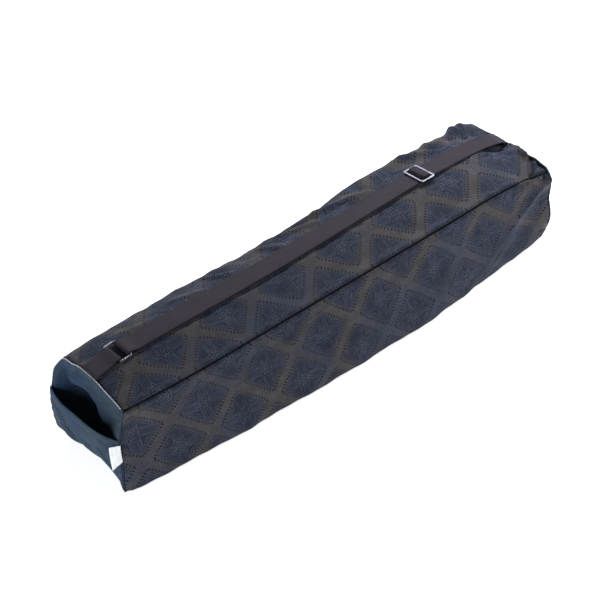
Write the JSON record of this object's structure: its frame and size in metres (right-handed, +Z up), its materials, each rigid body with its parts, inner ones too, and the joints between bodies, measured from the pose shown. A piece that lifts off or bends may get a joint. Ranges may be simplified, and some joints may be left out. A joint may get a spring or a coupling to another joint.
{
  "type": "yoga mat bag",
  "caption": "Long soft bag for a rolled exercise mat, with a zip along its front edge, a webbing shoulder strap with a ring and a slider, and an open pocket on one end.",
  "frame": {"origin": "on the flat underside, under the middle of the bag's length", "axes": "+X along the bag from the pocket end to the plain end, -Y towards the front, where the zip is, +Z up from the underside"},
  "size_m": [0.7251, 0.1695, 0.1512],
  "materials": {
    "printed_cloth": "woven, printed with a lattice of medallions",
    "end_cloth": "woven, printed",
    "zip_tape": "woven tape",
    "label": "satin ribbon, blank",
    "webbing": "ribbed webbing",
    "hardware": "plated, satin"
  },
  "bodies": {
    "root": {"main_panel": "printed_cloth", "zip_tape": "zip_tape", "end_panel_near": "end_cloth", "end_panel_far": "end_cloth", "pocket_panel": "end_cloth", "side_label": "label", "strap_tab": "webbing", "strap_ring": "hardware", "shoulder_strap": "webbing", "strap_slider": "hardware"}
  },
  "joints": []
}
